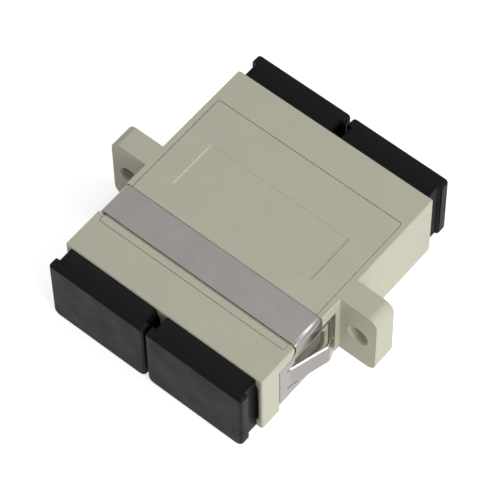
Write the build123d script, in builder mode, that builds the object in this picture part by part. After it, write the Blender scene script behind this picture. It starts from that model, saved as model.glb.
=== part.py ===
from build123d import *
import os

# Panel-mount duplex adapter for two push-pull fibre plugs, with its four dust caps in place.
# Millimetres. X runs across the two channels, Y along the fibres and Z up. The origin is the
# centre of the bottom face, in the middle plane of the flange. The -Y end is the front.

os.makedirs("parts", exist_ok=True)

# Shell
body_width = 25.6
body_length = 27.5
body_height = 9.4
corner_round = 0.25
long_edge_bevel = 0.12

# Flange with two screw ears, each with its hole in the middle
flange_thickness = 2.8
flange_span = 34.8
ear_round = 1.15
screw_hole_radius = 1.1
screw_hole_bevel = 0.2

# Two channels on the standard duplex pitch, open at both ends, with a wall above and below
channel_pitch = 12.7
port_width = 9.1
port_wall = 0.975
key_slot_width = 2.4
key_slot_depth = 0.6
mouth_width = 11.7
mouth_depth = 1.4
mouth_round = 1.0
mouth_bevel = 0.15

# Chamber in the middle of each channel, with a slot that locates the latch holders
chamber_width = 9.8
chamber_length = 17.6
holder_slot_depth = 0.2
holder_fit = 0.05

# Cover plate let into the top, past both ends of the chamber by a ledge
cover_width = 24.0
cover_ledge = 0.65
cover_thickness = 0.95
cover_round = 0.25
cover_gap = 0.08
label_width = 18.0
label_length = 5.95
label_centre_y = 1.65
label_depth = 0.1

# Panel clip, folded from one sheet
sheet = 0.3
strap_width = 4.05
strap_front_y = -8.4
strap_front_gap = 0.28
strap_rear_gap = 0.06
bend_radius = 0.6
plate_front_y = -10.95
plate_rear_y = -2.25
plate_bottom_z = 1.3
plate_drop = 1.7
shoulder_share = 0.95
plate_round = 0.3
plate_gap = 0.1
leg_gap = 0.12
window_front_y = -8.6
window_rear_bar = 0.55
window_bottom_bar = 0.8
window_top_bar = 0.42
slit_width = 0.25
slit_length = 1.2
tongue_height = 3.2
tongue_tip_height = 2.8
tongue_root_y = -9.3
tongue_bend_y = -4.7
tongue_tip_y = -3.45
tongue_lift = 1.35
tongue_tip_lift = 0.9
tongue_bend_radius = 0.6
tongue_tip_round = 0.3
pocket_mid_y = -6.25
pocket_length = 5.7
pocket_mid_z = 4.2
pocket_height = 3.55
pocket_depth = 0.45
pocket_round = 0.9

# Latch holders: a flange, a tube round the sleeve and two hooks
holder_thickness = 1.6
tube_outer_radius = 2.3
tube_lip = 0.5
hook_inner_x = 3.5
hook_thickness = 0.9
hook_height = 3.0
hook_end_gap = 0.5
hook_catch = 0.55
hook_catch_length = 1.1
hook_ramp = 0.45

# Split alignment sleeve for a 2.5 ferrule
sleeve_bore_radius = 1.25
sleeve_wall = 0.35
sleeve_length = 11.4
sleeve_slot = 0.5
sleeve_fit = 0.05
sleeve_end_gap = 0.2
ferrule_entry_gap = 0.2

# Dust caps
cap_reach = 2.95
cap_plate_gap = 0.3
cap_plate_thickness = 1.15
cap_top_round = 0.45
cap_bottom_round = 0.85
cap_edge_round = 0.35
cap_back_bevel = 0.15
cap_neck_step_x = 0.5
cap_neck_step_z = 0.1
cap_neck_round = 0.3
cap_seat_gap = 0.05
cap_skirt_length = 4.5
cap_skirt_fit = 0.1
cap_skirt_wall = 0.85
cap_skirt_round = 0.4
cap_floor = 1.3

# Sizes that follow
axis_z = body_height / 2
port_height = body_height - 2 * port_wall
port_floor_z = port_wall
port_roof_z = body_height - port_wall
cover_floor_z = body_height - cover_thickness
side_x = body_width / 2
end_y = body_length / 2
screw_spacing = (body_width + flange_span) / 2
cover_length = chamber_length + 2 * cover_ledge
holder_slot_width = chamber_width + 2 * holder_slot_depth
seat_x = side_x - sheet - leg_gap
strap_rear_y = strap_front_y + strap_width
groove_front_y = strap_front_y - strap_front_gap
groove_rear_y = strap_rear_y + strap_rear_gap
groove_floor_z = body_height - sheet
sheet_mid_x = side_x - sheet / 2
plate_top_z = body_height - plate_drop
plate_mid_z = (plate_bottom_z + plate_top_z) / 2
window_length = plate_rear_y - window_rear_bar - window_front_y
window_mid_y = window_front_y + window_length / 2
window_height = plate_top_z - window_top_bar - plate_bottom_z - window_bottom_bar
window_mid_z = plate_bottom_z + window_bottom_bar + window_height / 2
shoulder_round = shoulder_share * (plate_drop - bend_radius)
fold_break = bend_radius - sheet
tongue_joint_y = window_front_y - slit_length - sheet
tube_bore_radius = sleeve_bore_radius + sleeve_wall + sleeve_fit
tube_bore_depth = sleeve_length / 2 + sleeve_end_gap
hook_reach_y = chamber_length / 2 - hook_end_gap
cap_face_y = end_y + cap_reach
cap_plate_width = channel_pitch - cap_plate_gap
cap_neck_width = cap_plate_width - 2 * cap_neck_step_x
cap_neck_height = body_height - 2 * cap_neck_step_z
sides = {"left": -1, "right": 1}
ends = {"front": -1, "rear": 1}


def channel_plane(side, end, y):
    """Plane across a channel at distance y from the middle, facing in, with its own y axis up."""
    return Plane(origin=(side * channel_pitch / 2, end * y, axis_z), x_dir=(end, 0, 0), z_dir=(0, -end, 0))


# Shell, moulded in one piece with its flange
with BuildPart() as housing_body:
    with BuildSketch():
        RectangleRounded(body_width, body_length, corner_round)
    extrude(amount=body_height)
    chamfer(housing_body.edges().group_by(Axis.Z)[-1], long_edge_bevel)
    chamfer(housing_body.edges().group_by(Axis.Z)[0], long_edge_bevel)
    with BuildSketch(Plane.XZ):
        with Locations((0, axis_z)):
            RectangleRounded(flange_span, body_height, ear_round)
    extrude(amount=flange_thickness / 2, both=True)
    # Screw holes through the ears
    with BuildSketch(Plane.XZ):
        with Locations((0, axis_z)):
            with GridLocations(screw_spacing, 0, 2, 1):
                Circle(screw_hole_radius)
    extrude(amount=flange_thickness, both=True, mode=Mode.SUBTRACT)
    chamfer(housing_body.edges(Select.LAST).filter_by(GeomType.CIRCLE), screw_hole_bevel)
    # Ports, and the wider chamber between them under the cover
    for side in sides.values():
        with BuildSketch(Plane.XZ):
            with Locations((side * channel_pitch / 2, axis_z)):
                Rectangle(port_width, port_height)
        extrude(amount=body_length, both=True, mode=Mode.SUBTRACT)
        with BuildSketch(Plane.XY.offset(port_floor_z)):
            with Locations((side * channel_pitch / 2, 0)):
                Rectangle(chamber_width, chamber_length)
                Rectangle(holder_slot_width, 2 * (holder_thickness + holder_fit))
        extrude(amount=body_height - port_floor_z, mode=Mode.SUBTRACT)
        for end in ends.values():
            with BuildSketch(channel_plane(side, end, end_y)):
                RectangleRounded(mouth_width, port_height, mouth_round)
            extrude(amount=mouth_depth, mode=Mode.SUBTRACT)
            with BuildSketch(channel_plane(side, end, end_y)):
                rim = 2 * mouth_bevel
                RectangleRounded(mouth_width + rim, port_height + rim, mouth_round + mouth_bevel)
            extrude(amount=mouth_bevel, taper=45, mode=Mode.SUBTRACT)
    # Key slots in the roof of each port, from both ends up to the cover
    slot_run = end_y - cover_length / 2
    with BuildSketch(Plane.XY.offset(port_roof_z)):
        with GridLocations(channel_pitch, body_length - slot_run, 2, 2):
            Rectangle(key_slot_width, slot_run)
    extrude(amount=key_slot_depth, mode=Mode.SUBTRACT)
    # Rebate for the cover
    with BuildSketch(Plane.XY.offset(cover_floor_z)):
        RectangleRounded(cover_width + 2 * cover_gap, cover_length + 2 * cover_gap, cover_round + cover_gap)
    extrude(amount=cover_thickness, mode=Mode.SUBTRACT)
    # Groove for the strap across the top, and the seat of each side plate
    with BuildSketch(Plane.XY.offset(groove_floor_z)):
        with Locations((0, (groove_front_y + groove_rear_y) / 2)):
            Rectangle(body_width, groove_rear_y - groove_front_y)
    extrude(amount=sheet, mode=Mode.SUBTRACT)
    for side in sides.values():
        with BuildSketch(Plane.YZ.offset(side * side_x)) as seat:
            with BuildLine():
                Polyline(
                    (plate_front_y - plate_gap, 0),
                    (plate_rear_y + plate_gap, 0),
                    (plate_rear_y + plate_gap, plate_top_z + plate_gap),
                    (groove_rear_y, plate_top_z + plate_gap),
                    (groove_rear_y, body_height),
                    (groove_front_y, body_height),
                    (groove_front_y, plate_top_z + plate_gap),
                    (plate_front_y - plate_gap, plate_top_z + plate_gap),
                    close=True,
                )
            make_face()
            shoulder = seat.vertices().sort_by_distance((groove_front_y, plate_top_z + plate_gap))[0]
            fillet(shoulder, shoulder_round)
        extrude(amount=-side * (side_x - seat_x), mode=Mode.SUBTRACT)
        # Deeper pocket behind the tongue, so that the tongue can be pushed flush
        with BuildSketch(Plane.YZ.offset(side * seat_x)):
            with Locations((pocket_mid_y, pocket_mid_z)):
                RectangleRounded(pocket_length, pocket_height, pocket_round)
        extrude(amount=-side * pocket_depth, mode=Mode.SUBTRACT)
    # The edge under each fold of the strap is broken, to clear the inside of the bend
    with BuildSketch(Plane.XZ.offset(-groove_front_y)):
        for side in sides.values():
            with BuildLine():
                Polyline(
                    (side * (seat_x - fold_break), groove_floor_z),
                    (side * seat_x, groove_floor_z - fold_break),
                    (side * seat_x, groove_floor_z),
                    close=True,
                )
            make_face()
    extrude(amount=groove_front_y - groove_rear_y, mode=Mode.SUBTRACT)
housing_body.part.label = "housing_body"
export_step(housing_body.part, "parts/housing_body.step")

# Cover plate with a shallow label field, and the strap's groove carried across it
with BuildPart() as housing_cover:
    with BuildSketch(Plane.XY.offset(cover_floor_z)):
        RectangleRounded(cover_width, cover_length, cover_round)
    extrude(amount=cover_thickness)
    with BuildSketch(Plane.XY.offset(body_height)):
        with Locations((0, label_centre_y)):
            Rectangle(label_width, label_length)
    extrude(amount=-label_depth, mode=Mode.SUBTRACT)
    with BuildSketch(Plane.XY.offset(groove_floor_z)):
        with Locations((0, (groove_front_y + groove_rear_y) / 2)):
            Rectangle(body_width, groove_rear_y - groove_front_y)
    extrude(amount=sheet, mode=Mode.SUBTRACT)
housing_cover.part.label = "housing_cover"
export_step(housing_cover.part, "parts/housing_cover.step")

# Sprung tongue of the right side, bent out and back again as seen from above and tapered to its tip
with BuildPart() as tongue:
    with BuildSketch(Plane.XY.offset(plate_mid_z)):
        with BuildLine():
            FilletPolyline(
                (sheet_mid_x, tongue_joint_y),
                (sheet_mid_x, tongue_root_y),
                (sheet_mid_x + tongue_lift, tongue_bend_y),
                (sheet_mid_x + tongue_tip_lift, tongue_tip_y),
                radius=tongue_bend_radius,
            )
        trace(line_width=sheet)
    extrude(amount=tongue_height / 2, both=True)
    with BuildSketch(Plane.YZ) as taper:
        with BuildLine():
            Polyline(
                (tongue_joint_y, plate_mid_z - tongue_height / 2),
                (tongue_tip_y, plate_mid_z - tongue_tip_height / 2),
                (tongue_tip_y, plate_mid_z + tongue_tip_height / 2),
                (tongue_joint_y, plate_mid_z + tongue_height / 2),
                close=True,
            )
        make_face()
        fillet(taper.vertices().group_by(Axis.X)[-1], tongue_tip_round)
    extrude(amount=flange_span / 2, mode=Mode.INTERSECT)

# Spring clip: a strap over the top, a framed plate down each side and a tongue in each frame
with BuildPart() as panel_clip:
    with BuildSketch(Plane.XZ.offset(-strap_front_y)):
        with BuildLine():
            FilletPolyline(
                (-sheet_mid_x, plate_top_z),
                (-sheet_mid_x, body_height - sheet / 2),
                (sheet_mid_x, body_height - sheet / 2),
                (sheet_mid_x, plate_top_z),
                radius=bend_radius - sheet / 2,
            )
        trace(line_width=sheet)
    extrude(amount=-strap_width)
    for side in sides.values():
        with BuildSketch(Plane.YZ.offset(side * side_x)) as frame:
            with BuildLine():
                Polyline(
                    (plate_front_y, plate_bottom_z),
                    (plate_rear_y, plate_bottom_z),
                    (plate_rear_y, plate_top_z),
                    (strap_rear_y, plate_top_z),
                    (strap_rear_y, body_height - bend_radius),
                    (strap_front_y, body_height - bend_radius),
                    (strap_front_y, plate_top_z),
                    (plate_front_y, plate_top_z),
                    close=True,
                )
            make_face()
            fillet(frame.vertices().sort_by_distance((strap_front_y, plate_top_z))[0], shoulder_round)
            fillet(frame.vertices().group_by(Axis.Y)[0], plate_round)
            # Window, and room for the tongue's root with a slit above and below it
            with Locations((window_mid_y, window_mid_z)):
                Rectangle(window_length, window_height, mode=Mode.SUBTRACT)
            with Locations((window_front_y - slit_length / 2, plate_mid_z)):
                Rectangle(slit_length, tongue_height + 2 * slit_width, mode=Mode.SUBTRACT)
        extrude(amount=-side * sheet)
    add(tongue.part)
    mirror(tongue.part, about=Plane.YZ)
panel_clip.part.label = "panel_clip"
export_step(panel_clip.part, "parts/panel_clip.step")

# Latch holders: one half for each end of each channel, back to back in the middle plane
for side_name, side in sides.items():
    for end_name, end in ends.items():
        name = f"latch_holder_{side_name}_{end_name}"
        with BuildPart() as latch_holder:
            with BuildSketch(channel_plane(side, -end, 0)):
                Rectangle(holder_slot_width - 2 * holder_fit, port_height - 2 * holder_fit)
            extrude(amount=holder_thickness)
            with BuildSketch(channel_plane(side, -end, 0)):
                Circle(tube_outer_radius)
            extrude(amount=tube_bore_depth + tube_lip)
            # Hooks, each with a catch that faces the tube and a ramp that the plug rides up
            with BuildSketch(Plane.XY.offset(axis_z)):
                for arm in (-1, 1):
                    inner = side * channel_pitch / 2 + arm * hook_inner_x
                    with BuildLine():
                        Polyline(
                            (inner, 0),
                            (inner, end * (hook_reach_y - hook_catch_length)),
                            (inner - arm * hook_catch, end * (hook_reach_y - hook_catch_length)),
                            (inner - arm * hook_catch, end * (hook_reach_y - hook_ramp)),
                            (inner, end * hook_reach_y),
                            (inner + arm * hook_thickness, end * hook_reach_y),
                            (inner + arm * hook_thickness, 0),
                            close=True,
                        )
                    make_face()
            extrude(amount=hook_height / 2, both=True)
            # Seat of the sleeve, closed at the outer end by a lip that the ferrule passes
            with BuildSketch(channel_plane(side, -end, 0)):
                Circle(tube_bore_radius)
            extrude(amount=tube_bore_depth, mode=Mode.SUBTRACT)
            with BuildSketch(channel_plane(side, -end, 0)):
                Circle(sleeve_bore_radius + ferrule_entry_gap)
            extrude(amount=tube_bore_depth + tube_lip, mode=Mode.SUBTRACT)
        latch_holder.part.label = name
        export_step(latch_holder.part, f"parts/{name}.step")

# Split sleeves
for side_name, side in sides.items():
    name = f"sleeve_{side_name}"
    with BuildPart() as sleeve:
        with BuildSketch(channel_plane(side, -1, 0)):
            Circle(sleeve_bore_radius + sleeve_wall)
            Circle(sleeve_bore_radius, mode=Mode.SUBTRACT)
            with Locations((0, sleeve_bore_radius)):
                Rectangle(sleeve_slot, 2 * sleeve_wall + sleeve_slot, mode=Mode.SUBTRACT)
        extrude(amount=sleeve_length / 2, both=True)
    sleeve.part.label = name
    export_step(sleeve.part, f"parts/{name}.step")

# Dust caps: a finger plate, a neck that meets the shell's end and a hollow skirt in the port
for end_name, end in ends.items():
    for side_name, side in sides.items():
        name = f"dust_cap_{end_name}_{side_name}"
        with BuildPart() as dust_cap:
            with BuildSketch(channel_plane(side, end, cap_face_y)) as plate:
                Rectangle(cap_plate_width, body_height)
                fillet(plate.vertices().group_by(Axis.Y)[-1], cap_top_round)
                fillet(plate.vertices().group_by(Axis.Y)[0], cap_bottom_round)
            extrude(amount=cap_plate_thickness)
            outward = Axis((0, 0, 0), (0, end, 0))
            fillet(dust_cap.edges().group_by(outward)[-1], cap_edge_round)
            chamfer(dust_cap.edges().group_by(outward)[0], cap_back_bevel)
            with BuildSketch(channel_plane(side, end, cap_face_y - cap_plate_thickness / 2)):
                RectangleRounded(cap_neck_width, cap_neck_height, cap_neck_round)
            extrude(amount=cap_face_y - cap_plate_thickness / 2 - end_y - cap_seat_gap)
            skirt_width = port_width - 2 * cap_skirt_fit
            skirt_height = port_height - 2 * cap_skirt_fit
            with BuildSketch(channel_plane(side, end, end_y + cap_seat_gap)):
                RectangleRounded(skirt_width, skirt_height, cap_skirt_round)
            extrude(amount=cap_skirt_length)
            hollow_y = end_y + cap_seat_gap - cap_skirt_length
            with BuildSketch(channel_plane(side, -end, -hollow_y)):
                Rectangle(skirt_width - 2 * cap_skirt_wall, skirt_height - 2 * cap_skirt_wall)
            extrude(amount=cap_face_y - cap_floor - hollow_y, mode=Mode.SUBTRACT)
        dust_cap.part.label = name
        export_step(dust_cap.part, f"parts/{name}.step")
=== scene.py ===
"""Looks of a duplex fibre adapter with its four dust caps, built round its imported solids."""

import math

import bmesh
import bpy
from mathutils import Matrix, Vector


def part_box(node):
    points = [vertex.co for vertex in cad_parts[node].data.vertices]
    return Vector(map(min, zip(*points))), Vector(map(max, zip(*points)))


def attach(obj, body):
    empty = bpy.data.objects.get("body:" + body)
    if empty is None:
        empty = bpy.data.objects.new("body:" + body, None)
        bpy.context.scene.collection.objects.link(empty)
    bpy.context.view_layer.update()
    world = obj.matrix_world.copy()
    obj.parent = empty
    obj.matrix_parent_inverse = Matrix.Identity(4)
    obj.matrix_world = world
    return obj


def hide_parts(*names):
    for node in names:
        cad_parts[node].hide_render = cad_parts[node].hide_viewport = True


bl_info = {
    "name": "Duplex Fibre Adapter",
    "version": (1, 0, 0),
    "blender": (4, 5, 0),
    "location": "View3D > Sidebar > Adapter",
    "description": "Dresses the solids of a duplex fibre adapter and lights them",
    "category": "Object",
}

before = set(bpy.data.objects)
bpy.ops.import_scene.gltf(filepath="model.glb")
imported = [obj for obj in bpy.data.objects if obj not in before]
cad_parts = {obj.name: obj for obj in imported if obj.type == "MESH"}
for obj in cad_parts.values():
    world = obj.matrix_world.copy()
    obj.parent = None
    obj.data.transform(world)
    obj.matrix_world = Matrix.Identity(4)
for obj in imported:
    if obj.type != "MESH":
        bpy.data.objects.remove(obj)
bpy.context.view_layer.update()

MM = 0.001
SIDES = ("left", "right")
ENDS = {"front": -1, "rear": 1}
SHELL_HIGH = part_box("housing_body")[1]
TOP_Z = SHELL_HIGH.z
AXIS_Z = TOP_Z / 2
CAP_LOW, CAP_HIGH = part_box("dust_cap_rear_right")

# Points nearer than WELD are made one, and a point within NEAR of a place counts as there
WELD = 0.001 * MM
NEAR = 0.01 * MM
# Faces that turn less than FLAT_TURN are made one, and an edge that turns more than SHARP_TURN is eased
FLAT_TURN = math.radians(0.5)
SHARP_TURN = math.radians(40)
RIGHT_ANGLE = math.pi / 2


def linear(hex_colour):
    """Turns an sRGB hex colour into linear light, with an alpha of 1."""
    parts = [int(hex_colour[i : i + 2], 16) / 255 for i in (1, 3, 5)]
    return tuple(c / 12.92 if c <= 0.04045 else ((c + 0.055) / 1.055) ** 2.4 for c in parts) + (1.0,)


def add(tree, kind, inputs=None, **settings):
    """Adds a node, sets its properties, and fills or links its inputs."""
    node = tree.nodes.new(kind)
    for name, value in settings.items():
        setattr(node, name, value)
    for socket, value in (inputs or {}).items():
        if isinstance(value, bpy.types.NodeSocket):
            tree.links.new(value, node.inputs[socket])
        else:
            node.inputs[socket].default_value = value
    return node


def new_material(name):
    """Makes a material with an empty tree and returns it with its tree and its output node."""
    material = bpy.data.materials.new(name)
    material.use_nodes = True
    tree = material.node_tree
    tree.nodes.clear()
    return material, tree, add(tree, "ShaderNodeOutputMaterial")


def clouded(tree, colour, cloud, darkening):
    """A colour that is darker by up to a share of itself where a noise is low."""
    shade = add(
        tree,
        "ShaderNodeMapRange",
        {"Value": cloud, "From Min": 0.3, "From Max": 0.7, "To Min": 1 - darkening, "To Max": 1.0},
    )
    return add(
        tree,
        "ShaderNodeMix",
        {"Factor": 1.0, "A": linear(colour), "B": shade.outputs["Result"]},
        data_type="RGBA",
        blend_type="MULTIPLY",
    ).outputs["Result"]


def moulded_polyester(name, colour, grain_width, roughness, darkening):
    """Glass-filled PBT from a spark-eroded mould: an even, fine matt with a slight sheen at a low angle."""
    material, tree, output = new_material(name)
    place = add(tree, "ShaderNodeTexCoord").outputs["Object"]
    # The resin flows in soft clouds a few millimetres wide, hardly darker than the rest
    cloud_width = 5 * MM
    cloud = add(tree, "ShaderNodeTexNoise", {"Vector": place, "Scale": 1 / cloud_width, "Detail": 3.0})
    # Spark-eroded grain, drawn a little coarser than the real one so that it shows
    grain = add(tree, "ShaderNodeTexNoise", {"Vector": place, "Scale": 1 / grain_width, "Detail": 3.0})
    swing = 0.06
    spread = add(
        tree,
        "ShaderNodeMapRange",
        {"Value": grain.outputs["Fac"], "To Min": roughness - swing, "To Max": roughness + swing},
    )
    bump = add(
        tree, "ShaderNodeBump", {"Height": grain.outputs["Fac"], "Strength": 0.15, "Distance": 0.02 * MM}
    )
    shader = add(
        tree,
        "ShaderNodeBsdfPrincipled",
        {
            "Base Color": clouded(tree, colour, cloud.outputs["Fac"], darkening),
            "Roughness": spread.outputs["Result"],
            "IOR": 1.5,
            "Normal": bump.outputs["Normal"],
        },
    )
    tree.links.new(shader.outputs["BSDF"], output.inputs["Surface"])
    return material


def rolled_spring_steel(name, colour, roughness, line_width):
    """Stainless strip as it leaves the rolls: a grey metal with a faint lengthwise rolling grain."""
    material, tree, output = new_material(name)
    place = add(tree, "ShaderNodeTexCoord").outputs["Object"]
    # The rolling grain runs across the adapter, along the strip, and is coarser than the real one to show
    line_stretch = 25
    drawn = add(tree, "ShaderNodeMapping", {"Vector": place, "Scale": (1 / line_stretch, 1.0, 1.0)})
    line = add(
        tree,
        "ShaderNodeTexNoise",
        {"Vector": drawn.outputs["Vector"], "Scale": 1 / line_width, "Detail": 4.0},
    )
    # Thin stains from the rolling oil, a few millimetres wide, make the sheet a little uneven
    stain_width = 3 * MM
    stain = add(tree, "ShaderNodeTexNoise", {"Vector": place, "Scale": 1 / stain_width, "Detail": 4.0})
    both = add(
        tree,
        "ShaderNodeMath",
        {0: line.outputs["Fac"], 1: stain.outputs["Fac"]},
        operation="ADD",
    )
    swing = 0.04
    spread = add(
        tree,
        "ShaderNodeMapRange",
        {
            "Value": both.outputs["Value"],
            "From Min": 0.6,
            "From Max": 1.4,
            "To Min": roughness - swing,
            "To Max": roughness + swing,
        },
    )
    bump = add(
        tree, "ShaderNodeBump", {"Height": line.outputs["Fac"], "Strength": 0.04, "Distance": 0.01 * MM}
    )
    shader = add(
        tree,
        "ShaderNodeBsdfPrincipled",
        {
            "Base Color": clouded(tree, colour, stain.outputs["Fac"], darkening=0.07),
            "Metallic": 1.0,
            "Roughness": spread.outputs["Result"],
            "Normal": bump.outputs["Normal"],
        },
    )
    tree.links.new(shader.outputs["BSDF"], output.inputs["Surface"])
    return material


def moulded_polyethylene(name, colour, roughness, grain_width):
    """Black soft polyethylene from a blasted mould: a deep colour under a waxy, slightly cloudy sheen."""
    material, tree, output = new_material(name)
    place = add(tree, "ShaderNodeTexCoord").outputs["Object"]
    # The blasted grain is drawn coarser than the real one so that it shows
    grain = add(tree, "ShaderNodeTexNoise", {"Vector": place, "Scale": 1 / grain_width, "Detail": 4.0})
    # The sheen is cloudy where the soft plastic shrank a little away from the mould
    cloud_width = 2.5 * MM
    cloud = add(tree, "ShaderNodeTexNoise", {"Vector": place, "Scale": 1 / cloud_width, "Detail": 3.0})
    swing = 0.06
    spread = add(
        tree,
        "ShaderNodeMapRange",
        {
            "Value": cloud.outputs["Fac"],
            "From Min": 0.3,
            "From Max": 0.7,
            "To Min": roughness - swing,
            "To Max": roughness + swing,
        },
    )
    bump = add(
        tree, "ShaderNodeBump", {"Height": grain.outputs["Fac"], "Strength": 0.2, "Distance": 0.02 * MM}
    )
    # The caps stay nearly black in full light, so their dull skin mirrors far less than clean plastic
    shader = add(
        tree,
        "ShaderNodeBsdfPrincipled",
        {
            "Base Color": linear(colour),
            "Roughness": spread.outputs["Result"],
            "IOR": 1.51,
            "Specular IOR Level": 0.09,
            "Normal": bump.outputs["Normal"],
        },
    )
    tree.links.new(shader.outputs["BSDF"], output.inputs["Surface"])
    return material


def drawn_bronze(name, colour, roughness):
    """Phosphor bronze drawn out and rolled into a tube: warm metal with fine marks along its length."""
    material, tree, output = new_material(name)
    place = add(tree, "ShaderNodeTexCoord").outputs["Object"]
    # The marks are drawn wider than the real ones so that they show
    mark_width = 0.15 * MM
    mark_stretch = 20
    drawn = add(tree, "ShaderNodeMapping", {"Vector": place, "Scale": (1.0, 1 / mark_stretch, 1.0)})
    mark = add(
        tree,
        "ShaderNodeTexNoise",
        {"Vector": drawn.outputs["Vector"], "Scale": 1 / mark_width, "Detail": 3.0},
    )
    swing = 0.08
    spread = add(
        tree,
        "ShaderNodeMapRange",
        {"Value": mark.outputs["Fac"], "To Min": roughness - swing, "To Max": roughness + swing},
    )
    shader = add(
        tree,
        "ShaderNodeBsdfPrincipled",
        {"Base Color": linear(colour), "Metallic": 1.0, "Roughness": spread.outputs["Result"]},
    )
    tree.links.new(shader.outputs["BSDF"], output.inputs["Surface"])
    return material


def keep_faces_flat(piece):
    """Shades a piece smoothly over its roundings while its large faces stay flat."""
    piece.data.shade_smooth()
    weighted = piece.modifiers.new("flat faces stay flat", "WEIGHTED_NORMAL")
    weighted.keep_sharp = False


def break_tongue_edges(form):
    """Breaks the upper outer edge of each spring tongue with one flat, which glints as a sheared edge."""
    flat_offset = 0.16 * MM
    over_tongues = AXIS_Z + 2 * MM
    plate_x = max(abs(vert.co.x) for vert in form.verts if vert.co.z > over_tongues)

    def is_crest(edge):
        """Whether an edge lies level with the side plate or past it, between a face up and a face out."""
        side = math.copysign(1, edge.verts[0].co.x)
        return (
            min(abs(vert.co.x) for vert in edge.verts) > plate_x - NEAR
            and max(vert.co.z for vert in edge.verts) < over_tongues
            and any(face.normal.z > 0.9 for face in edge.link_faces)
            and any(side * face.normal.x > 0.5 for face in edge.link_faces)
        )

    crests = [edge for edge in form.edges if is_crest(edge)]
    bmesh.ops.bevel(form, geom=crests, offset=flat_offset, offset_type="OFFSET", segments=1, affect="EDGES")


def finish_cover(form):
    """Narrows the parting gap a little, to a hairline, and leans the label field's walls back by 45 degrees.

    The leaning walls give what the photo shows, a bright line on the left and a soft shade on the right.
    """
    gap_closing = (1.0012, 1.0015, 1.0)
    bmesh.ops.scale(form, vec=gap_closing, verts=form.verts)
    field_depth = 0.1 * MM
    bed = [vert for vert in form.verts if abs(TOP_Z - vert.co.z - field_depth) < field_depth / 2]
    middle = sum((vert.co for vert in bed), Vector()) / len(bed)
    for vert in form.verts:
        below = [b for b in bed if (b.co.xy - vert.co.xy).length < NEAR and b is not vert]
        if vert.co.z > TOP_Z - NEAR and below:
            depth = vert.co.z - below[0].co.z
            vert.co.x += math.copysign(depth, vert.co.x - middle.x)
            vert.co.y += math.copysign(depth, vert.co.y - middle.y)


def eased_copy(node, name, material, ease, refine=None):
    """A welded copy of a fixed solid whose sharp edges are eased, as a mould or a press leaves them."""
    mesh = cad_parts[node].data.copy()
    form = bmesh.new()
    form.from_mesh(mesh)
    bmesh.ops.remove_doubles(form, verts=form.verts, dist=WELD)
    bmesh.ops.dissolve_limit(form, angle_limit=FLAT_TURN, verts=form.verts, edges=form.edges)
    if refine:
        refine(form)
    form.to_mesh(mesh)
    form.free()
    mesh.materials.clear()
    mesh.materials.append(material)
    piece = bpy.data.objects.new(name, mesh)
    bpy.context.scene.collection.objects.link(piece)
    bevel = piece.modifiers.new("eased edges", "BEVEL")
    bevel.width = ease
    bevel.segments = 3
    bevel.limit_method = "ANGLE"
    bevel.angle_limit = SHARP_TURN
    keep_faces_flat(piece)
    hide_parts(node)
    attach(piece, "adapter")


def new_group(name, inputs, output):
    """A node group with named inputs and one output, returned with its input and output nodes."""
    tree = bpy.data.node_groups.new(name, "GeometryNodeTree")
    for label, kind in inputs.items():
        tree.interface.new_socket(name=label, in_out="INPUT", socket_type=kind)
    tree.interface.new_socket(name=output[0], in_out="OUTPUT", socket_type=output[1])
    return tree, add(tree, "NodeGroupInput").outputs, add(tree, "NodeGroupOutput").inputs


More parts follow.
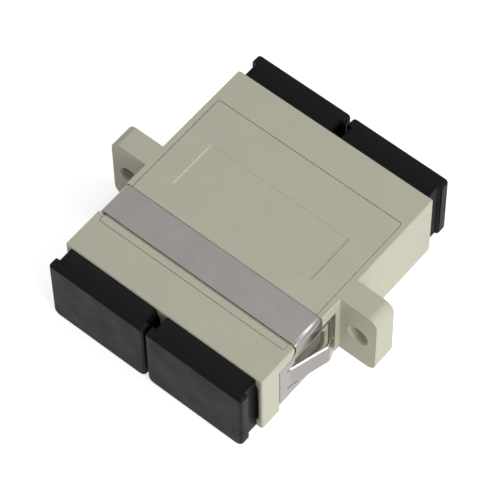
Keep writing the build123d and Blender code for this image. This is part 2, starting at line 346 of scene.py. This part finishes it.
def ring_position_group():
    """Places the points of a ring on a rectangle with rounded corners, inset and at a depth.

    A ring lies on a rounded edge, at a turn about the edge's centre: 0 where the edge meets an outward face,
    a right angle where it meets the sides, and two where it meets a face that looks back.
    """
    # What is left of a corner's rounding, however far its ring is inset
    least_round = 0.08 * MM
    tree, given, result = new_group(
        "ring_position",
        {
            "Width": "NodeSocketFloat",
            "Height": "NodeSocketFloat",
            "Top Round": "NodeSocketFloat",
            "Bottom Round": "NodeSocketFloat",
            "Centre Inset": "NodeSocketFloat",
            "Centre Depth": "NodeSocketFloat",
            "Edge Round": "NodeSocketFloat",
            "Turn": "NodeSocketFloat",
            "Corner": "NodeSocketVector",
            "Arc": "NodeSocketVector",
        },
        ("Position", "NodeSocketVector"),
    )
    across = add(tree, "ShaderNodeMath", {0: given["Turn"]}, operation="SINE").outputs[0]
    along = add(tree, "ShaderNodeMath", {0: given["Turn"]}, operation="COSINE").outputs[0]
    step_in = add(
        tree, "ShaderNodeMath", {0: given["Edge Round"], 1: across}, operation="MULTIPLY"
    ).outputs[0]
    step_down = add(
        tree, "ShaderNodeMath", {0: given["Edge Round"], 1: along}, operation="MULTIPLY"
    ).outputs[0]
    inset = add(
        tree, "ShaderNodeMath", {0: given["Centre Inset"], 1: step_in}, operation="SUBTRACT"
    ).outputs[0]
    depth = add(
        tree, "ShaderNodeMath", {0: given["Centre Depth"], 1: step_down}, operation="SUBTRACT"
    ).outputs[0]
    # The corners are rounded by one radius above and another below, less the inset
    above = add(tree, "ShaderNodeSeparateXYZ", {0: given["Corner"]}).outputs["Y"]
    full_round = add(
        tree,
        "ShaderNodeMapRange",
        {"Value": above, "From Min": -1.0, "To Min": given["Bottom Round"], "To Max": given["Top Round"]},
    ).outputs["Result"]
    less = add(tree, "ShaderNodeMath", {0: full_round, 1: inset}, operation="SUBTRACT").outputs[0]
    corner_round = add(tree, "ShaderNodeMath", {0: less, 1: least_round}, operation="MAXIMUM").outputs[0]
    size = add(tree, "ShaderNodeCombineXYZ", {"X": given["Width"], "Y": given["Height"]}).outputs[0]
    half = add(tree, "ShaderNodeVectorMath", {0: size, "Scale": 0.5}, operation="SCALE").outputs[0]
    taken = add(tree, "ShaderNodeMath", {0: inset, 1: corner_round}, operation="ADD").outputs[0]
    centre = add(tree, "ShaderNodeVectorMath", {0: half, 1: taken}, operation="SUBTRACT").outputs[0]
    quarter = add(
        tree, "ShaderNodeVectorMath", {0: centre, 1: given["Corner"]}, operation="MULTIPLY"
    ).outputs[0]
    swing = add(
        tree, "ShaderNodeVectorMath", {0: given["Arc"], "Scale": corner_round}, operation="SCALE"
    ).outputs[0]
    flat = add(tree, "ShaderNodeVectorMath", {0: quarter, 1: swing}, operation="ADD").outputs[0]
    down = add(tree, "ShaderNodeCombineXYZ", {"Z": depth}).outputs[0]
    place = add(tree, "ShaderNodeVectorMath", {0: flat, 1: down}, operation="ADD").outputs[0]
    tree.links.new(place, result["Position"])
    return tree


def dust_cap_tree():
    """One dust cap, drawn out ring by ring from its outer face over plate and neck into its hollow skirt."""
    lengths = (
        "Plate Width",
        "Plate Height",
        "Plate Thickness",
        "Top Round",
        "Bottom Round",
        "Edge Round",
        "Back Round",
        "Neck Width",
        "Neck Height",
        "Neck Round",
        "Neck Depth",
        "Skirt Width",
        "Skirt Height",
        "Skirt Round",
        "Skirt Depth",
        "Skirt Wall",
        "Floor",
        "Turn",
    )
    kinds = {name: "NodeSocketFloat" for name in lengths}
    kinds.update(
        {"Corner Steps": "NodeSocketInt", "Place": "NodeSocketVector", "Finish": "NodeSocketMaterial"}
    )
    tree, given, result = new_group("dust_cap", kinds, ("Geometry", "NodeSocketGeometry"))
    tree.is_modifier = True
    ring_position = ring_position_group()

    # Each corner's arc takes an equal share of a ring's points: find each point's corner and direction
    points = add(tree, "ShaderNodeMath", {0: given["Corner Steps"], 1: 1.0}, operation="ADD").outputs[0]
    count = add(tree, "ShaderNodeMath", {0: points, 1: 4.0}, operation="MULTIPLY").outputs[0]
    index = add(tree, "GeometryNodeInputIndex").outputs[0]
    share = add(tree, "ShaderNodeMath", {0: index, 1: points}, operation="DIVIDE").outputs[0]
    quadrant = add(tree, "ShaderNodeMath", {0: share}, operation="FLOOR").outputs[0]
    step = add(tree, "ShaderNodeMath", {0: index, 1: points}, operation="MODULO").outputs[0]
    part = add(tree, "ShaderNodeMath", {0: step, 1: given["Corner Steps"]}, operation="DIVIDE").outputs[0]
    turns = add(tree, "ShaderNodeMath", {0: quadrant, 1: part}, operation="ADD").outputs[0]
    angle = add(tree, "ShaderNodeMath", {0: turns, 1: RIGHT_ANGLE}, operation="MULTIPLY").outputs[0]
    middle = add(
        tree, "ShaderNodeMath", {0: quadrant, 1: RIGHT_ANGLE, 2: RIGHT_ANGLE / 2}, operation="MULTIPLY_ADD"
    ).outputs[0]
    cosines = [add(tree, "ShaderNodeMath", {0: a}, operation="COSINE").outputs[0] for a in (angle, middle)]
    sines = [add(tree, "ShaderNodeMath", {0: a}, operation="SINE").outputs[0] for a in (angle, middle)]
    arc = add(tree, "ShaderNodeCombineXYZ", {"X": cosines[0], "Y": sines[0]}).outputs[0]
    aside = add(tree, "ShaderNodeCombineXYZ", {"X": cosines[1], "Y": sines[1]}).outputs[0]
    corner = add(tree, "ShaderNodeVectorMath", {0: aside}, operation="SIGN").outputs[0]

    disc = add(tree, "GeometryNodeMeshCircle", {"Vertices": count}, fill_type="NGON").outputs[0]
    known = add(tree, "GeometryNodeCaptureAttribute", {"Geometry": disc}, domain="POINT")
    for name, value in (("Corner", corner), ("Arc", arc)):
        known.capture_items.new("VECTOR", name)
        tree.links.new(value, known.inputs[name])

    def ring(section, inset, depth, edge_round, turn):
        """Positions of one ring of a section, on the turn of one of its edges."""
        values = dict(zip(("Width", "Height", "Top Round", "Bottom Round"), section))
        values.update(
            {
                "Centre Inset": inset,
                "Centre Depth": depth,
                "Edge Round": edge_round,
                "Turn": math.radians(turn),
                "Corner": known.outputs["Corner"],
                "Arc": known.outputs["Arc"],
            }
        )
        return add(tree, "GeometryNodeGroup", values, node_tree=ring_position).outputs["Position"]

    plate = (given["Plate Width"], given["Plate Height"], given["Top Round"], given["Bottom Round"])
    neck = (given["Neck Width"], given["Neck Height"], given["Neck Round"], given["Neck Round"])
    skirt = (given["Skirt Width"], given["Skirt Height"], given["Skirt Round"], given["Skirt Round"])
    back_centre = add(
        tree, "ShaderNodeMath", {0: given["Plate Thickness"], 1: given["Back Round"]}, operation="SUBTRACT"
    ).outputs[0]
    end_centre = add(
        tree, "ShaderNodeMath", {0: given["Skirt Depth"], 1: given["Back Round"]}, operation="SUBTRACT"
    ).outputs[0]
    front_edge = (given["Edge Round"], given["Edge Round"], given["Edge Round"])
    back_edge = (given["Back Round"], back_centre, given["Back Round"])
    skirt_end = (given["Back Round"], end_centre, given["Back Round"])
    # Rounded front edge of the plate, its finely rounded back edge, and the neck
    rings = [ring(plate, *front_edge, turn) for turn in range(15, 91, 15)]
    rings += [ring(plate, *back_edge, turn) for turn in range(90, 181, 30)]
    rings += [ring(neck, 0.0, given[depth], 0.0, 0) for depth in ("Plate Thickness", "Neck Depth")]
    # Skirt, its rounded end, and its hollow with a flat floor
    rings += [ring(skirt, 0.0, given["Neck Depth"], 0.0, 0)]
    rings += [ring(skirt, *skirt_end, turn) for turn in range(90, 181, 30)]
    rings += [ring(skirt, given["Skirt Wall"], given[depth], 0.0, 0) for depth in ("Skirt Depth", "Floor")]

    outer = ring(plate, *front_edge, 0)
    face = add(
        tree, "GeometryNodeSetPosition", {"Geometry": known.outputs["Geometry"], "Position": outer}
    ).outputs[0]
    body = face
    growing = True
    for position in rings:
        drawn = add(
            tree,
            "GeometryNodeExtrudeMesh",
            {"Mesh": body, "Selection": growing, "Offset Scale": 0.0, "Individual": False},
        )
        growing = drawn.outputs["Top"]
        body = add(
            tree,
            "GeometryNodeSetPosition",
            {"Geometry": drawn.outputs["Mesh"], "Selection": growing, "Position": position},
        ).outputs[0]
    shut = add(tree, "GeometryNodeFlipFaces", {"Mesh": face}).outputs[0]
    joined = add(tree, "GeometryNodeJoinGeometry")
    tree.links.new(body, joined.inputs[0])
    tree.links.new(shut, joined.inputs[0])
    closed = add(
        tree, "GeometryNodeMergeByDistance", {"Geometry": joined.outputs[0], "Distance": WELD}
    ).outputs[0]
    # The rings were drawn lying down: stand them up and turn them towards their end of the adapter
    stand = add(tree, "ShaderNodeCombineXYZ", {"X": RIGHT_ANGLE, "Z": given["Turn"]}).outputs[0]
    placed = add(
        tree,
        "GeometryNodeTransform",
        {"Geometry": closed, "Translation": given["Place"], "Rotation": stand},
    ).outputs[0]
    real = add(tree, "GeometryNodeRealizeInstances", {"Geometry": placed}).outputs[0]
    dressed = add(tree, "GeometryNodeSetMaterial", {"Geometry": real, "Material": given["Finish"]}).outputs[0]
    tree.links.new(dressed, result["Geometry"])
    return tree


def grown_mesh(name, tree, values):
    """Runs a geometry tree with its inputs set by name and returns an object with the plain mesh."""
    piece = bpy.data.objects.new(name, bpy.data.meshes.new(name + "_seed"))
    bpy.context.scene.collection.objects.link(piece)
    modifier = piece.modifiers.new("geometry", "NODES")
    modifier.node_group = tree
    for socket in tree.interface.items_tree:
        if socket.in_out == "INPUT":
            modifier[socket.identifier] = values[socket.name]
    depsgraph = bpy.context.evaluated_depsgraph_get()
    mesh = bpy.data.meshes.new_from_object(piece.evaluated_get(depsgraph), depsgraph=depsgraph)
    piece.modifiers.remove(modifier)
    piece.data = mesh
    if not mesh.polygons:
        raise RuntimeError(f"{name} came out empty")
    return piece


class ShellSettings(bpy.types.PropertyGroup):
    colour: bpy.props.StringProperty(
        name="Colour", description="sRGB hex colour of the moulded shell", default="#C4C2AE"
    )
    roughness: bpy.props.FloatProperty(
        name="Roughness", description="Roughness of the moulded surface", default=0.5, min=0, max=1
    )
    grain: bpy.props.FloatProperty(
        name="Grain",
        description="Spacing of the mould's spark-eroded grain",
        default=0.16 * MM,
        unit="LENGTH",
        precision=6,
    )
    shell_ease: bpy.props.FloatProperty(
        name="Shell edge",
        description="Rounding of the shell's edges",
        default=0.05 * MM,
        unit="LENGTH",
        precision=6,
    )
    cover_ease: bpy.props.FloatProperty(
        name="Cover edge",
        description="Rounding of the cover's edges",
        default=0.035 * MM,
        unit="LENGTH",
        precision=6,
    )


class ClipSettings(bpy.types.PropertyGroup):
    colour: bpy.props.StringProperty(
        name="Colour", description="sRGB hex colour of the spring steel", default="#989290"
    )
    roughness: bpy.props.FloatProperty(
        name="Roughness", description="Roughness of the rolled surface", default=0.23, min=0, max=1
    )
    ease: bpy.props.FloatProperty(
        name="Blanked edge",
        description="Rounding of the blanked edges",
        default=0.05 * MM,
        unit="LENGTH",
        precision=6,
    )


class ChannelSettings(bpy.types.PropertyGroup):
    holder_colour: bpy.props.StringProperty(
        name="Holder colour", description="sRGB hex colour of the latch holders", default="#E2DECE"
    )
    sleeve_colour: bpy.props.StringProperty(
        name="Sleeve colour", description="sRGB hex colour of the split sleeves", default="#C79A6B"
    )
    holder_ease: bpy.props.FloatProperty(
        name="Holder edge",
        description="Rounding of the holders' edges",
        default=0.05 * MM,
        unit="LENGTH",
        precision=6,
    )
    sleeve_ease: bpy.props.FloatProperty(
        name="Sleeve edge",
        description="Rounding of the sleeves' edges",
        default=0.03 * MM,
        unit="LENGTH",
        precision=6,
    )


class CapSettings(bpy.types.PropertyGroup):
    colour: bpy.props.StringProperty(
        name="Colour", description="sRGB hex colour of the dust caps", default="#111111"
    )
    roughness: bpy.props.FloatProperty(
        name="Roughness", description="Roughness of the dust caps", default=0.47, min=0, max=1
    )
    plate_thickness: bpy.props.FloatProperty(
        name="Plate",
        description="Thickness of the finger plate",
        default=1.15 * MM,
        unit="LENGTH",
        precision=6,
    )
    top_round: bpy.props.FloatProperty(
        name="Top corners",
        description="Rounding of the plate's upper corners",
        default=0.45 * MM,
        unit="LENGTH",
        precision=6,
    )
    bottom_round: bpy.props.FloatProperty(
        name="Bottom corners",
        description="Rounding of the plate's lower corners",
        default=0.85 * MM,
        unit="LENGTH",
        precision=6,
    )
    edge_round: bpy.props.FloatProperty(
        name="Front edge",
        description="Rounding of the plate's front edge",
        default=0.35 * MM,
        unit="LENGTH",
        precision=6,
    )
    neck_step: bpy.props.FloatProperty(
        name="Neck step",
        description="How far the plate stands out past each side of the neck",
        default=0.5 * MM,
        unit="LENGTH",
        precision=6,
    )
    skirt_wall: bpy.props.FloatProperty(
        name="Skirt wall",
        description="Wall of the hollow skirt",
        default=0.85 * MM,
        unit="LENGTH",
        precision=6,
    )


class StageSettings(bpy.types.PropertyGroup):
    azimuth: bpy.props.FloatProperty(
        name="Azimuth",
        description="Camera's turn from the front towards the right",
        default=math.radians(40.33),
        subtype="ANGLE",
    )
    elevation: bpy.props.FloatProperty(
        name="Elevation",
        description="Camera's height above the horizon",
        default=math.radians(58.28),
        subtype="ANGLE",
    )
    roll: bpy.props.FloatProperty(
        name="Roll",
        description="Camera's turn about its own axis",
        default=math.radians(-1.02),
        subtype="ANGLE",
    )
    distance: bpy.props.FloatProperty(
        name="Distance",
        description="From the camera to the point it looks at",
        default=303.7 * MM,
        unit="LENGTH",
    )
    lens: bpy.props.FloatProperty(
        name="Lens", description="Focal length in millimetres on a 36 mm sensor", default=213.6
    )
    target: bpy.props.FloatVectorProperty(
        name="Target",
        description="Point that the camera looks at",
        default=(0.22 * MM, -0.38 * MM, 4.65 * MM),
        size=3,
        subtype="TRANSLATION",
        unit="LENGTH",
    )
    lamp_distance: bpy.props.FloatProperty(
        name="Lamp distance",
        description="From the adapter to each soft box",
        default=500 * MM,
        unit="LENGTH",
    )
    key: bpy.props.FloatProperty(name="Key", description="Level of the key light", default=0.57, min=0)
    strip: bpy.props.FloatProperty(
        name="Strip", description="Level of the strip that the strap's fold mirrors", default=0.2, min=0
    )
    sky: bpy.props.FloatProperty(
        name="Room light", description="Brightness of the room round the boxes", default=0.31, min=0
    )
    paper_lift: bpy.props.FloatProperty(
        name="Paper lift",
        description="How far the ground is lifted towards white where it is seen",
        default=0.66,
        min=0,
        max=1,
    )


class ADAPTER_OT_shell(bpy.types.Operator):
    """Dresses the moulded shell and its cover"""

    bl_idname = "adapter.shell"
    bl_label = "Shell and cover"

    def execute(self, context):
        settings = context.scene.adapter_shell
        plastic = moulded_polyester(
            "beige_pbt_moulded", settings.colour, settings.grain, settings.roughness, darkening=0.04
        )
        eased_copy("housing_body", "shell_moulding", plastic, settings.shell_ease)
        eased_copy(
            "housing_cover",
            "cover_moulding",
            plastic,
            settings.cover_ease,
            finish_cover,
        )
        return {"FINISHED"}


class ADAPTER_OT_clip(bpy.types.Operator):
    """Dresses the sprung panel clip"""

    bl_idname = "adapter.clip"
    bl_label = "Panel clip"

    def execute(self, context):
        settings = context.scene.adapter_clip
        steel = rolled_spring_steel(
            "spring_steel_rolled", settings.colour, settings.roughness, line_width=0.12 * MM
        )
        eased_copy("panel_clip", "panel_clip_strip", steel, settings.ease, break_tongue_edges)
        return {"FINISHED"}


class ADAPTER_OT_channels(bpy.types.Operator):
    """Dresses the latch holders and the sleeves inside the channels"""

    bl_idname = "adapter.channels"
    bl_label = "Latch holders and sleeves"

    def execute(self, context):
        settings = context.scene.adapter_channels
        plastic = moulded_polyester(
            "natural_pbt_moulded",
            settings.holder_colour,
            grain_width=0.16 * MM,
            roughness=0.42,
            darkening=0.02,
        )
        bronze = drawn_bronze("phosphor_bronze_drawn", settings.sleeve_colour, roughness=0.3)
        for side in SIDES:
            for end in ENDS:
                node = f"latch_holder_{side}_{end}"
                eased_copy(node, node + "_moulding", plastic, settings.holder_ease)
            node = f"sleeve_{side}"
            eased_copy(node, node + "_tube", bronze, settings.sleeve_ease)
        return {"FINISHED"}


class ADAPTER_OT_caps(bpy.types.Operator):
    """Grows the four dust caps from one tree, each in its own port"""

    bl_idname = "adapter.caps"
    bl_label = "Dust caps"

    def execute(self, context):
        settings = context.scene.adapter_caps
        plastic = moulded_polyethylene(
            "black_polyethylene_moulded", settings.colour, settings.roughness, grain_width=0.2 * MM
        )
        tree = dust_cap_tree()
        width = CAP_HIGH.x - CAP_LOW.x
        face_y = CAP_HIGH.y
        seat_gap = 0.05 * MM
        neck_inset = 0.03 * MM
        values = {
            "Plate Width": width,
            "Plate Height": TOP_Z,
            "Plate Thickness": settings.plate_thickness,
            "Top Round": settings.top_round,
            "Bottom Round": settings.bottom_round,
            "Edge Round": settings.edge_round,
            "Back Round": 0.06 * MM,
            "Neck Width": width - 2 * settings.neck_step,
            "Neck Height": TOP_Z - 2 * neck_inset,
            "Neck Round": 0.3 * MM,
            "Neck Depth": face_y - SHELL_HIGH.y - seat_gap,
            "Skirt Width": 8.9 * MM,
            "Skirt Height": 7.25 * MM,
            "Skirt Round": 0.4 * MM,
            "Skirt Depth": face_y - CAP_LOW.y,
            "Skirt Wall": settings.skirt_wall,
            "Floor": 1.3 * MM,
            "Corner Steps": 8,
            "Finish": plastic,
        }
        for end, outward in ENDS.items():
            for side in SIDES:
                node = f"dust_cap_{end}_{side}"
                low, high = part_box(node)
                values["Place"] = ((low.x + high.x) / 2, outward * face_y, AXIS_Z)
                values["Turn"] = 0.0 if outward > 0 else 2 * RIGHT_ANGLE
                cap = grown_mesh(node + "_moulding", tree, values)
                keep_faces_flat(cap)
                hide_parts(node)
                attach(cap, f"cap_{end}_{side}")
        return {"FINISHED"}


def soft_box(name, towards, size, level, along=(0, 0, 1)):
    """A soft box that faces the adapter with its length along a direction.

    Its level is the brightness that it alone gives to a white card held against it at the adapter.
    """
    distance = bpy.context.scene.adapter_stage.lamp_distance
    aim = Vector(towards).normalized()
    length = Vector(along)
    length = (length - aim * length.dot(aim)).normalized()
    turn = Matrix((length, aim.cross(length), aim)).transposed().to_4x4()
    lamp = bpy.data.lights.new(name, "AREA")
    lamp.shape = "RECTANGLE"
    lamp.size, lamp.size_y = size
    lamp.energy = level * (math.pi * distance) ** 2
    holder = bpy.data.objects.new(name, lamp)
    holder.matrix_world = Matrix.Translation(Vector((0, 0, AXIS_Z)) + aim * distance) @ turn
    bpy.context.scene.collection.objects.link(holder)


def seen_rays(tree):
    """1 for what the camera sees directly, in a gloss or through glass, and 0 for what only lights."""
    path = add(tree, "ShaderNodeLightPath").outputs
    glossy = add(
        tree, "ShaderNodeMath", {0: path["Is Camera Ray"], 1: path["Is Glossy Ray"]}, operation="MAXIMUM"
    ).outputs[0]
    return add(
        tree, "ShaderNodeMath", {0: glossy, 1: path["Is Transmission Ray"]}, operation="MAXIMUM"
    ).outputs[0]


def white_ground(name, lift):
    """Matt white paper, lifted to white where it is seen, directly or in a gloss, with its shadows kept."""
    material, tree, output = new_material(name)
    glow = add(tree, "ShaderNodeMath", {0: seen_rays(tree), 1: lift}, operation="MULTIPLY").outputs[0]
    paper = add(tree, "ShaderNodeBsdfDiffuse", {"Color": linear("#F4F4F4")}).outputs[0]
    light = add(tree, "ShaderNodeEmission", {"Color": (1, 1, 1, 1), "Strength": glow}).outputs[0]
    both = add(tree, "ShaderNodeAddShader", {0: paper, 1: light}).outputs[0]
    tree.links.new(both, output.inputs["Surface"])
    return material


def white_room(name, level):
    """A room that is white where it is seen and lights the adapter at its own level."""
    world = bpy.data.worlds.new(name)
    world.use_nodes = True
    tree = world.node_tree
    strength = add(
        tree, "ShaderNodeMath", {0: seen_rays(tree), 1: 1 - level, 2: level}, operation="MULTIPLY_ADD"
    ).outputs[0]
    background = tree.nodes["Background"]
    background.inputs["Color"].default_value = (1, 1, 1, 1)
    tree.links.new(strength, background.inputs["Strength"])
    return world


def photo_camera(name, settings):
    """A camera at its distance from the target, turned round it as the photo's was."""
    camera = bpy.data.cameras.new(name)
    camera.lens = settings.lens
    camera.sensor_width = 36
    camera.clip_start = 0.01
    camera.clip_end = 10
    turn = Matrix.Rotation(settings.azimuth, 4, "Z")
    turn = turn @ Matrix.Rotation(RIGHT_ANGLE - settings.elevation, 4, "X")
    turn = turn @ Matrix.Rotation(settings.roll, 4, "Z")
    back = Matrix.Translation((0, 0, settings.distance))
    holder = bpy.data.objects.new(name, camera)
    holder.matrix_world = Matrix.Translation(Vector(settings.target)) @ turn @ back
    bpy.context.scene.collection.objects.link(holder)
    return holder


class ADAPTER_OT_stage(bpy.types.Operator):
    """Lays the white ground, sets the lamps and places the camera"""

    bl_idname = "adapter.stage"
    bl_label = "Ground, lamps and camera"

    def execute(self, context):
        settings = context.scene.adapter_stage
        scene = context.scene
        half_width = 2.0
        form = bmesh.new()
        bmesh.ops.create_grid(form, x_segments=1, y_segments=1, size=half_width)
        mesh = bpy.data.meshes.new("ground")
        form.to_mesh(mesh)
        form.free()
        mesh.materials.append(white_ground("matt_white_paper", settings.paper_lift))
        ground = bpy.data.objects.new("ground", mesh)
        scene.collection.objects.link(ground)

        # The key comes from the right, and the strap's right fold mirrors a strip behind it
        soft_box("key_soft_box", towards=(0.88, -0.14, 0.45), size=(0.26, 0.26), level=settings.key)
        soft_box(
            "strip_soft_box",
            towards=(0.31, 0.42, 0.85),
            size=(0.5, 0.085),
            level=settings.strip,
            along=(0.94, 0, -0.34),
        )
        scene.world = white_room("studio", settings.sky)
        scene.camera = photo_camera("camera", settings)
        scene.view_settings.view_transform = "Standard"
        return {"FINISHED"}


class ADAPTER_PT_panel(bpy.types.Panel):
    """Lists the steps that dress the adapter"""

    bl_idname = "ADAPTER_PT_panel"
    bl_label = "Duplex fibre adapter"
    bl_space_type = "VIEW_3D"
    bl_region_type = "UI"
    bl_category = "Adapter"

    def draw(self, context):
        for operator in OPERATORS:
            self.layout.operator(operator.bl_idname)


GROUPS = {
    "adapter_shell": ShellSettings,
    "adapter_clip": ClipSettings,
    "adapter_channels": ChannelSettings,
    "adapter_caps": CapSettings,
    "adapter_stage": StageSettings,
}
OPERATORS = (ADAPTER_OT_shell, ADAPTER_OT_clip, ADAPTER_OT_channels, ADAPTER_OT_caps, ADAPTER_OT_stage)


def register():
    for name, group in GROUPS.items():
        bpy.utils.register_class(group)
        setattr(bpy.types.Scene, name, bpy.props.PointerProperty(type=group))
    for operator in OPERATORS:
        bpy.utils.register_class(operator)
    bpy.utils.register_class(ADAPTER_PT_panel)


def unregister():
    bpy.utils.unregister_class(ADAPTER_PT_panel)
    for operator in reversed(OPERATORS):
        bpy.utils.unregister_class(operator)
    for name, group in GROUPS.items():
        delattr(bpy.types.Scene, name)
        bpy.utils.unregister_class(group)


def main():
    """Makes the pieces and the stage in order."""
    register()
    bpy.ops.adapter.shell()
    bpy.ops.adapter.clip()
    bpy.ops.adapter.channels()
    bpy.ops.adapter.caps()
    bpy.ops.adapter.stage()


if __name__ == "__main__":
    main()
